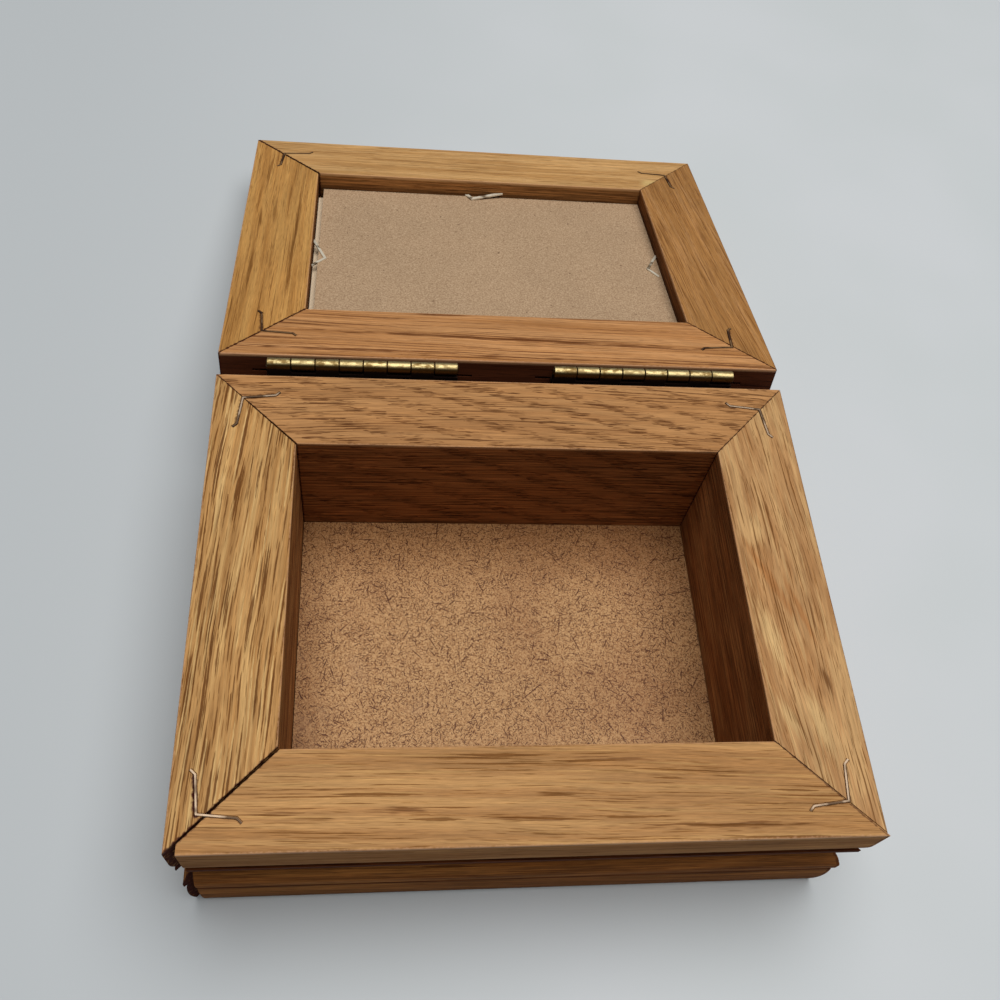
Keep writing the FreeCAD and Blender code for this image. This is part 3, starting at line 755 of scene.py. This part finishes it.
@dataclass(frozen=True)
class GreyBoard:
    """The lid's backing: soft grey-tan board with faint pale and dark specks."""

    ground: Colour = tone(172, 144, 114)
    deep: Colour = tone(140, 112, 86)
    bright: Colour = tone(200, 173, 142)
    speck: Colour = tone(96, 70, 48)

    def finish(self) -> bpy.types.Material:
        """Build the material."""
        made, tree, shader = material("grey_board")
        place = tree.place()
        cloud = tree.noise(tree.stretch(place, 22, 22, 22), 2, 0.5)
        felt = tree.noise(tree.stretch(place, 0.55, 0.55, 0.55), 3, 0.6)
        dots = tree.noise(tree.stretch(place, 1.1, 1.1, 1.1), 1)
        colour = tree.mix(tree.step(felt, 0.50, 0.36, 0.0, 0.62), self.ground, self.deep)
        colour = tree.mix(tree.step(felt, 0.50, 0.64, 0.0, 0.60), colour, self.bright)
        colour = tree.shade(colour, cloud, 0.97, 1.03)
        colour = tree.mix(tree.step(dots, 0.72, 0.77, 0.0, 0.9), colour, self.speck)
        tree.feed(shader.inputs["Base Color"], colour)
        shader.inputs["Roughness"].default_value = 0.85
        shader.inputs["Specular IOR Level"].default_value = 0.2
        bumps(tree, shader, felt, 0.00008)
        return made


@dataclass(frozen=True)
class Brass:
    """Rolled brass, dulled and pitted in patches, with a near-black painted shadow up to a given height."""

    name: str
    tarnish: float
    painted_shadow_top: float
    bright: Colour = tone(192, 174, 126)
    dull: Colour = tone(132, 106, 62)
    pit: Colour = tone(92, 70, 34)
    shade: Colour = tone(74, 52, 24)
    painted_shadow: Colour = tone(30, 16, 10)

    def finish(self) -> bpy.types.Material:
        """Build the material."""
        made, tree, shader = material(self.name)
        place = tree.place()
        _, _, height = tree.split(place)
        patch = tree.noise(tree.stretch(place, 2.6, 1.4, 1.4), 3, 0.6)
        pits = tree.noise(tree.stretch(place, 0.6, 0.6, 0.6), 2, 0.6)
        dull = tree.math("MULTIPLY", tree.step(patch, 0.44, 0.60), self.tarnish)
        colour = tree.mix(dull, self.bright, self.dull)
        colour = tree.mix(tree.step(pits, 0.60, 0.70, 0.0, self.tarnish * 0.8), colour, self.pit)
        # Painted shade: each knuckle darkens from near its top downwards.
        colour = tree.mix(tree.step(height, 57.05, 56.35, 0.0, 0.92), colour, self.shade)
        # Painted shadow: below the given height the leaves turn near black, rough and not metallic, where they sit in
        # the dark gap.
        ragged = tree.math("MULTIPLY_ADD", tree.math("SUBTRACT", pits, 0.5), 1.4, height)
        low = tree.step(ragged, self.painted_shadow_top, self.painted_shadow_top + 0.35, 1.0, 0.0)
        tree.feed(shader.inputs["Base Color"], tree.mix(low, colour, self.painted_shadow))
        tree.feed(shader.inputs["Metallic"], tree.step(low, 0.3, 0.8, 1.0, 0.0))
        wear_and_painted_light = tree.step(patch, 0.40, 0.65, 0.48, 0.62)
        tree.feed(shader.inputs["Roughness"], tree.math("MULTIPLY_ADD", low, 0.45, wear_and_painted_light))
        shader.inputs["Specular IOR Level"].default_value = 0.15
        bumps(tree, shader, tree.math("ADD", patch, tree.math("MULTIPLY", pits, 0.3)), 0.00002)
        return made


@dataclass(frozen=True)
class Wire:
    """Steel of the nails and staples, with dark skin left in patches."""

    name: str
    bright: Colour
    dull: Colour
    low: float = 0.42
    high: float = 0.62
    rough: float = 0.46
    metallic: float = 0.7

    def finish(self) -> bpy.types.Material:
        """Build the material."""
        made, tree, shader = material(self.name)
        place = tree.place()
        patch = tree.noise(tree.stretch(place, 6.0, 6.0, 6.0), 2, 0.5)
        tree.feed(shader.inputs["Base Color"],
                  tree.mix(tree.step(patch, self.low, self.high), self.bright, self.dull))
        shader.inputs["Metallic"].default_value = self.metallic
        tree.feed(shader.inputs["Roughness"], tree.step(patch, 0.35, 0.65, self.rough, self.rough + 0.14))
        return made


@dataclass(frozen=True)
class Card:
    """Plain white card that stands in the lid behind the glass."""

    def finish(self) -> bpy.types.Material:
        """Build the material."""
        made, tree, shader = material("white_card")
        place = tree.place()
        tooth = tree.noise(tree.stretch(place, 0.4, 0.4, 0.4), 3, 0.6)
        colour = tree.mix(tree.step(tooth, 0.3, 0.7), tone(224, 200, 168), tone(234, 212, 182))
        tree.feed(shader.inputs["Base Color"], colour)
        shader.inputs["Roughness"].default_value = 0.8
        bumps(tree, shader, tooth, 0.00003)
        return made


@dataclass(frozen=True)
class Glass:
    """Clear picture glass with the faint green of its edge."""

    def finish(self) -> bpy.types.Material:
        """Build the material."""
        made, tree, shader = material("picture_glass")
        smear = tree.noise(tree.stretch(tree.place(), 25, 25, 25), 3, 0.6)
        tree.feed(shader.inputs["Base Color"], tree.mix(tree.step(smear, 0.3, 0.7), tone(252, 253, 248),
                                                        tone(247, 250, 243)))
        tree.feed(shader.inputs["Roughness"], tree.step(smear, 0.45, 0.75, 0.01, 0.04))
        shader.inputs["Transmission Weight"].default_value = 1.0
        shader.inputs["IOR"].default_value = 1.5
        return made


@dataclass
class Carcase:
    """The box's base: four oak rails, the hardboard floor and the V-nails."""

    rail: float = 25.0
    nail_leg: float = 9.6
    nail_splay: float = 6.5
    shape: FrameShape = field(init=False)

    def __post_init__(self) -> None:
        """Take the frame's outline from its rails."""
        front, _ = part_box("base_front_rail")
        _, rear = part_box("base_rear_rail")
        left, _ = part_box("base_left_rail")
        middle = Vector((0.0, (front.y + rear.y) / 2, rear.z))
        half_width, half_depth = round(-left.x * MM, 1), round((rear.y - front.y) * MM / 2, 2)
        self.shape = FrameShape("base", middle, 0.0, half_width, half_depth, self.rail, self.nail_leg,
                                self.nail_splay)

    def left_board(self) -> OakBoard:
        """Close-grained board with short thick brown streaks between cream bands."""
        dark, cream = tone(98, 54, 12), tone(212, 174, 116)
        return OakBoard(
            "base_left_rail", Run.LENGTHWAYS, tone(204, 163, 104), tone(184, 138, 82), tone(152, 104, 50),
            Grain(start=0.0, slope=0.055, waver=5.0, ripple=0.7),
            Bands(length=60, width=1.8, pale=0.7, dark=0.5),
            (Dashes(36, 1.5, 1.0, 0.58, 0.75, cream),
             Dashes(38, 1.2, 0.86, 0.54, 0.86, dark, Gather.CLOUDS, 1.3),
             Dashes(18, 0.90, 0.56, 0.50, 0.80, dark, Gather.CLOUDS, 0.8),
             Dashes(7, 0.60, 0.34, 0.50, 0.55, dark, soft=0.12)),
            mitres=((0.97, 0.80), (0.65, 0.40)), nail_stains=(1.0, 0.6))

    def front_board(self) -> OakBoard:
        """Golden board with long thin streaks, gathered toward its inner right and lower middle."""
        dark, cream = tone(110, 66, 22), tone(198, 154, 98)
        return OakBoard(
            "base_front_rail", Run.SIDEWAYS, tone(192, 147, 92), tone(175, 128, 77), tone(148, 100, 50),
            Grain(start=300.0, slope=-0.022, waver=3.5, ripple=0.5),
            Bands(length=100, width=2.6, pale=0.6, dark=0.35),
            (Dashes(44, 1.6, 0.80, 0.45, 0.50, cream),
             Dashes(30, 3.2, 0.90, 0.20, 0.75, dark, Gather.CLOUDS, 1.0),
             Dashes(48, 1.2, 0.50, 0.44, 0.80, dark, Gather.CLOUDS, 1.4),
             Dashes(20, 0.9, 0.38, 0.40, 0.70, dark, Gather.CLOUDS, 1.0),
             Dashes(8, 0.60, 0.28, 0.42, 0.55, dark, soft=0.12)),
            (Spot(-34.0, -61.4, 9.0, 1.0, dark, 0.85, -1.0, ragged=3.0),
             Spot(-1.0, -64.2, 13.0, 0.7, dark, 0.85, -2.5, ragged=3.0),
             Spot(48.0, -66.9, 26.0, 0.9, dark, 0.80, -0.5, ragged=3.4),
             Spot(20.0, -49.7, 11.0, 0.8, dark, 0.75, -1.0, ragged=3.0),
             Spot(-65.0, -61.8, 8.0, 0.7, dark, 0.60, 1.0, ragged=3.0)),
            mitres=((0.97, 0.60), (0.60, 0.32)), nail_stains=(0.25, 0.25))

    def rear_board(self) -> OakBoard:
        """Brown board whose pores crowd in growth rings that cross it at a slant."""
        dark = tone(86, 46, 14)
        return OakBoard(
            "base_rear_rail", Run.SIDEWAYS, tone(188, 140, 90), tone(176, 127, 78), tone(148, 99, 54),
            Grain(start=700.0, bow=0.0004, waver=3.0, ripple=0.6, ring_width=6.4, ring_slope=-0.29,
                  ring_tint=0.18),
            Bands(length=60, width=2.6, pale=0.4, dark=0.3),
            (Dashes(11, 0.58, 0.44, 0.44, 0.90, dark, Gather.RINGS, 0.95, soft=0.14),
             Dashes(5.0, 0.42, 0.32, 0.46, 0.82, dark, Gather.RINGS, 0.90, soft=0.12),
             Dashes(50, 1.2, 0.46, 0.54, 0.88, dark),
             Dashes(24, 0.8, 0.34, 0.48, 0.76, dark, soft=0.12)),
            mitres=((0.60, 0.32), (0.60, 0.28)), nail_stains=(0.5, 0.3))

    def right_board(self) -> OakBoard:
        """Wild-grained board with cream and brown flames and a few thin dark lines."""
        dark, cream, brown = tone(106, 64, 22), tone(206, 170, 116), tone(166, 112, 62)
        return OakBoard(
            "base_right_rail", Run.LENGTHWAYS, tone(198, 158, 106), tone(180, 136, 88), tone(154, 106, 60),
            Grain(start=1100.0, slope=-0.05, waver=8.0, ripple=0.8),
            Bands(length=32, width=4.0, pale=0.7, dark=0.55, bend=0.5),
            (Dashes(26, 1.8, 1.0, 0.45, 0.50, tone(202, 165, 114)),
             Dashes(40, 1.4, 0.50, 0.46, 0.80, dark),
             Dashes(16, 0.90, 0.42, 0.42, 0.72, dark, Gather.CLOUDS, 1.2),
             Dashes(6, 0.60, 0.30, 0.44, 0.58, dark, soft=0.12)),
            (Spot(-16.0, 69.0, 15.0, 3.0, cream, 0.85, -8.0), Spot(-41.0, 77.5, 14.0, 3.2, cream, 0.80, -12.0),
             Spot(-40.0, 69.5, 8.0, 2.6, cream, 0.70, -20.0), Spot(19.0, 71.0, 7.0, 3.0, cream, 0.60),
             Spot(3.0, 71.5, 18.0, 2.0, brown, 0.90, -23.0), Spot(-8.0, 79.0, 14.0, 1.3, brown, 0.85, -14.0),
             Spot(-28.8, 82.1, 6.0, 1.2, dark, 0.85, -10.0), Spot(-10.6, 82.4, 12.0, 0.36, dark, 0.8, -2.0),
             Spot(-58.0, 84.1, 5.0, 0.32, dark, 0.8), Spot(14.6, 74.2, 2.4, 0.4, dark, 0.8)),
            mitres=((0.70, 0.36), (0.60, 0.30)), nail_stains=(0.3, 0.5),
            # Dark outer arris: painted shade along the rail's outer edge.
            outer_arris=tone(104, 60, 34))

    def dress(self) -> None:
        """Give the base's nodes their finishes."""
        for board in (self.left_board(), self.front_board(), self.rear_board(), self.right_board()):
            dress(board.node, board.finish(self.shape))
            log.info("%s dressed", board.node)
        dress("floor_panel", Hardboard().finish())
        nail = Wire("nail_steel", tone(172, 150, 126), tone(98, 76, 56), 0.46, 0.58).finish()
        for corner in ("front_left", "front_right", "rear_left", "rear_right"):
            dress("base_v_nail_" + corner, nail)
        log.info("floor panel and base nails dressed")


@dataclass
class PictureLid:
    """The lid: a picture frame laid open past half a turn, its back uppermost."""

    base: FrameShape
    pin_behind_edge: float = 0.0035
    back_above_pin: float = 0.0008
    nail_splay: float = 5.0
    shape: FrameShape = field(init=False)

    # Painted shade in the lid's shallow well, darkest where its walls meet the backing.
    WELL_SHADE = (0.50, 0.37, 0.27)
    WELL_DEPTH = 7.0

    def __post_init__(self) -> None:
        """Set out the lid's frame from its hinge. It is as large as the base's."""
        joint = frame["joints"][0]
        tilt = radians(joint["range_deg"][1] - 180.0)
        away, up = Vector((0.0, cos(tilt), -sin(tilt))), Vector((0.0, sin(tilt), cos(tilt)))
        reach = self.pin_behind_edge + self.base.half_depth / MM
        middle = Vector(joint["pos_m"]) + away * reach + up * self.back_above_pin
        self.shape = FrameShape("lid", middle, tilt, self.base.half_width, self.base.half_depth,
                                self.base.rail, self.base.nail_leg, self.nail_splay)

    def left_board(self) -> OakBoard:
        """Yellow-tan board with a few long soft dark streaks."""
        dark = tone(104, 60, 14)
        return OakBoard(
            "lid_left_rail", Run.LENGTHWAYS, tone(196, 150, 86), tone(184, 135, 74), tone(150, 102, 48),
            Grain(start=1500.0, slope=0.02, waver=4.0, ripple=0.6),
            Bands(length=70, width=2.8, pale=0.5, dark=0.45),
            (Dashes(50, 1.9, 0.95, 0.42, 0.50, dark, soft=0.4), Dashes(40, 1.0, 0.44, 0.44, 0.62, dark),
             Dashes(14, 0.8, 0.38, 0.42, 0.55, dark), Dashes(6, 0.6, 0.30, 0.42, 0.48, dark)),
            (Spot(-21.2, -83.6, 20.0, 0.9, dark, 0.70, 0.5), Spot(8.9, -83.1, 9.0, 0.8, dark, 0.75),
             Spot(42.5, -82.4, 22.0, 0.75, dark, 0.60, 1.5), Spot(14.9, -78.1, 11.0, 1.2, dark, 0.50),
             Spot(-7.0, -70.3, 52.0, 0.95, dark, 0.75, 1.6)),
            mitres=((0.88, 0.55), (0.92, 0.75)), nail_stains=(0.7, 0.7),
            well_shade=self.WELL_SHADE, well_depth=self.WELL_DEPTH)

    def right_board(self) -> OakBoard:
        """Smooth brown board with faint slanting lines."""
        dark = tone(110, 66, 26)
        return OakBoard(
            "lid_right_rail", Run.LENGTHWAYS, tone(178, 132, 84), tone(166, 119, 68), tone(140, 94, 48),
            Grain(start=1900.0, slope=-0.07, waver=4.0, ripple=0.6),
            Bands(length=60, width=2.4, pale=0.5, dark=0.4),
            (Dashes(46, 1.9, 0.95, 0.42, 0.62, dark, soft=0.4), Dashes(36, 1.0, 0.44, 0.44, 0.75, dark),
             Dashes(14, 0.8, 0.36, 0.44, 0.66, dark), Dashes(6, 0.6, 0.28, 0.44, 0.60, dark)),
            (Spot(-17.0, 79.4, 10.0, 1.0, dark, 0.45), Spot(12.0, 82.0, 11.0, 1.7, dark, 0.40, -6.0),
             Spot(-32.5, 67.2, 20.0, 0.40, dark, 0.50, -7.0), Spot(15.9, 68.1, 18.0, 0.40, dark, 0.45, -9.0)),
            # Dark outer arris: painted shade along the rail's outer edge.
            mitres=((0.80, 0.42), (0.50, 0.30)), nail_stains=(0.7, 0.9), outer_arris=tone(104, 60, 34),
            well_shade=self.WELL_SHADE, well_depth=self.WELL_DEPTH)

    def far_board(self) -> OakBoard:
        """Pale tan board with soft faint dashes and a cream patch by its right mitre."""
        dark = tone(130, 84, 36)
        return OakBoard(
            "lid_front_rail", Run.SIDEWAYS, tone(206, 164, 110), tone(192, 148, 94), tone(166, 120, 68),
            Grain(start=2300.0, slope=0.0, waver=3.0, ripple=0.5),
            Bands(length=60, width=2.6, pale=0.6, dark=0.45),
            (Dashes(26, 1.7, 0.95, 0.42, 0.48, dark, soft=0.35), Dashes(14, 1.0, 0.50, 0.46, 0.56, dark),
             Dashes(6, 0.7, 0.36, 0.44, 0.50, dark)),
            (Spot(68.7, 51.6, 5.5, 4.2, tone(212, 182, 120), 0.75, 20.0),),
            mitres=((0.92, 0.75), (0.45, 0.30)), nail_stains=(0.4, 0.6),
            well_shade=self.WELL_SHADE, well_depth=self.WELL_DEPTH)

    def hinge_board(self) -> OakBoard:
        """Reddish tan board with two long dark streaks over its whole length."""
        dark = tone(92, 46, 12)
        return OakBoard(
            "lid_rear_rail", Run.SIDEWAYS, tone(200, 148, 98), tone(182, 129, 80), tone(150, 98, 50),
            Grain(start=2700.0, slope=-0.025, waver=3.0, ripple=0.5),
            Bands(length=110, width=2.2, pale=0.6, dark=0.45),
            (Dashes(70, 1.4, 0.72, 0.50, 0.70, dark), Dashes(50, 0.9, 0.40, 0.48, 0.68, dark),
             Dashes(18, 0.8, 0.36, 0.42, 0.55, dark), Dashes(7, 0.6, 0.28, 0.42, 0.48, dark)),
            (Spot(2.0, -58.9, 80.0, 1.1, dark, 0.85, -1.7, ragged=3.0),
             Spot(9.0, -58.8, 16.0, 1.3, dark, 0.55, -1.7),
             Spot(-45.0, -66.9, 48.0, 0.9, dark, 0.85, -0.6, ragged=3.0),
             Spot(35.0, -68.8, 55.0, 0.55, dark, 0.85, -0.6, ragged=3.0),
             Spot(-20.0, -46.6, 14.0, 1.0, dark, 0.80), Spot(38.0, -53.7, 12.0, 0.5, dark, 0.40)),
            mitres=((0.88, 0.50), (0.80, 0.42)), nail_stains=(0.7, 0.8),
            # Painted shade on the hinge rail's outer face, which also has a darker finish.
            well_shade=self.WELL_SHADE, well_depth=self.WELL_DEPTH, band_shade=(0.17, 0.09, 0.07))

    def dress(self) -> None:
        """Give the lid's nodes their finishes."""
        for board in (self.left_board(), self.right_board(), self.far_board(), self.hinge_board()):
            dress(board.node, board.finish(self.shape))
            log.info("%s dressed", board.node)
        dress("glass_pane", Glass().finish())
        dress("picture_card", Card().finish())
        dress("backing_board", GreyBoard().finish())
        nail = Wire("lid_nail_steel", tone(142, 110, 76), tone(72, 46, 30), 0.45, 0.58, metallic=0.5).finish()
        for corner in ("front_left", "front_right", "rear_left", "rear_right"):
            dress("lid_v_nail_" + corner, nail)
        staple = Wire("staple_steel", tone(232, 224, 204), tone(112, 94, 70), 0.54, 0.64, 0.36, 0.35).finish()
        for side in ("left", "right", "front", "rear"):
            dress("backing_staple_" + side, staple)
        log.info("lid dressed, %.2f degrees past half a turn", np.degrees(self.shape.tilt))


@dataclass
class Hinges:
    """Two brass butt hinges, their leaves pressed into the rear rails."""

    base_tarnish: float = 0.9
    lid_tarnish: float = 0.5
    # Heights in millimetres below which each leaf carries its painted shadow.
    base_painted_shadow_top: float = 54.9
    lid_painted_shadow_top: float = 53.9

    def dress(self) -> None:
        """Give the leaves and pins their finishes."""
        base = Brass("base_leaf_brass", self.base_tarnish, self.base_painted_shadow_top).finish()
        lid = Brass("lid_leaf_brass", self.lid_tarnish, self.lid_painted_shadow_top).finish()
        for side in ("left", "right"):
            dress("base_leaf_" + side, base)
            dress("hinge_pin_" + side, base)
            dress("lid_leaf_" + side, lid)
        log.info("hinges dressed")


@dataclass(frozen=True)
class Studio:
    """Pale table, soft light from overhead, and the camera."""

    camera_at: Vector = Vector((-0.04182, -0.20115, 0.30766))
    azimuth: float = radians(13.35)
    elevation: float = radians(57.68)
    roll: float = radians(12.13)
    focal_share: float = 1.0323
    sensor: float = 36.0
    lamp_at: Vector = Vector((0.20, 0.10, 2.0))
    lamp_width: float = 2.0
    lamp_power: float = 47.0
    fill: float = 0.03

    def camera(self) -> None:
        """Place the camera. Its axes are the view direction, level right turned by the roll, and up."""
        az, el = self.azimuth, self.elevation
        forward = Vector((sin(az) * cos(el), cos(az) * cos(el), -sin(el)))
        level = Vector((cos(az), -sin(az), 0.0))
        upright = level.cross(forward)
        right = level * cos(self.roll) + upright * sin(self.roll)
        up = upright * cos(self.roll) - level * sin(self.roll)
        data = bpy.data.cameras.new("camera")
        data.sensor_width = self.sensor
        data.lens = self.focal_share * self.sensor
        data.clip_start = 0.01
        camera = bpy.data.objects.new("camera", data)
        axes = Matrix((right, up, -forward)).transposed().to_4x4()
        camera.matrix_world = Matrix.Translation(self.camera_at) @ axes
        bpy.context.scene.collection.objects.link(camera)
        bpy.context.scene.camera = camera

    def light(self) -> None:
        """Hang the round soft lamp and set the room's fill."""
        data = bpy.data.lights.new("overhead", "AREA")
        data.shape = "DISK"
        data.size = self.lamp_width
        data.energy = self.lamp_power
        data.color = (1.0, 0.985, 0.965)
        lamp = bpy.data.objects.new("overhead", data)
        lamp.location = self.lamp_at
        lamp.rotation_euler = (-self.lamp_at).to_track_quat("-Z", "Y").to_euler()
        bpy.context.scene.collection.objects.link(lamp)
        world = bpy.data.worlds.new("room")
        bpy.context.scene.world = world
        world.use_nodes = True
        back = world.node_tree.nodes["Background"]
        back.inputs["Color"].default_value = (0.90, 0.96, 1.0, 1.0)
        back.inputs["Strength"].default_value = self.fill

    def table(self) -> None:
        """Lay the pale table under the box."""
        half = 3.0
        corners = np.array([[-half, -half], [half, -half], [half, half], [-half, half]])
        mesh = bpy.data.meshes.new("table")
        mesh.from_pydata([(*corner, -0.0002) for corner in corners.tolist()], [], [(0, 1, 2, 3)])
        made, tree, shader = material("pale_table")
        place = tree.place()
        right, _, _ = tree.split(place)
        haze = tree.noise(tree.stretch(place, 90, 90, 90), 2)
        colour = tree.mix(tree.step(haze, 0.3, 0.7), tone(201, 207, 210), tone(205, 210, 214))
        # Painted shade: the table darkens towards the left.
        colour = tree.mix(tree.step(right, 110.0, -190.0), colour, tone(188, 194, 198))
        tree.feed(shader.inputs["Base Color"], colour)
        shader.inputs["Roughness"].default_value = 0.7
        shader.inputs["Specular IOR Level"].default_value = 0.2
        mesh.materials.append(made)
        table = bpy.data.objects.new("table", mesh)
        bpy.context.scene.collection.objects.link(table)

    def build(self) -> None:
        """Set the stage and how colours are shown."""
        self.camera()
        self.light()
        self.table()
        bpy.context.scene.view_settings.view_transform = "Standard"


def main() -> None:
    """Build the scene in order and report each piece."""
    logging.basicConfig(level=logging.INFO, format="%(name)s: %(message)s")
    Studio().build()
    carcase = Carcase()
    carcase.dress()
    PictureLid(carcase.shape).dress()
    Hinges().dress()


if __name__ == "__main__":
    main()
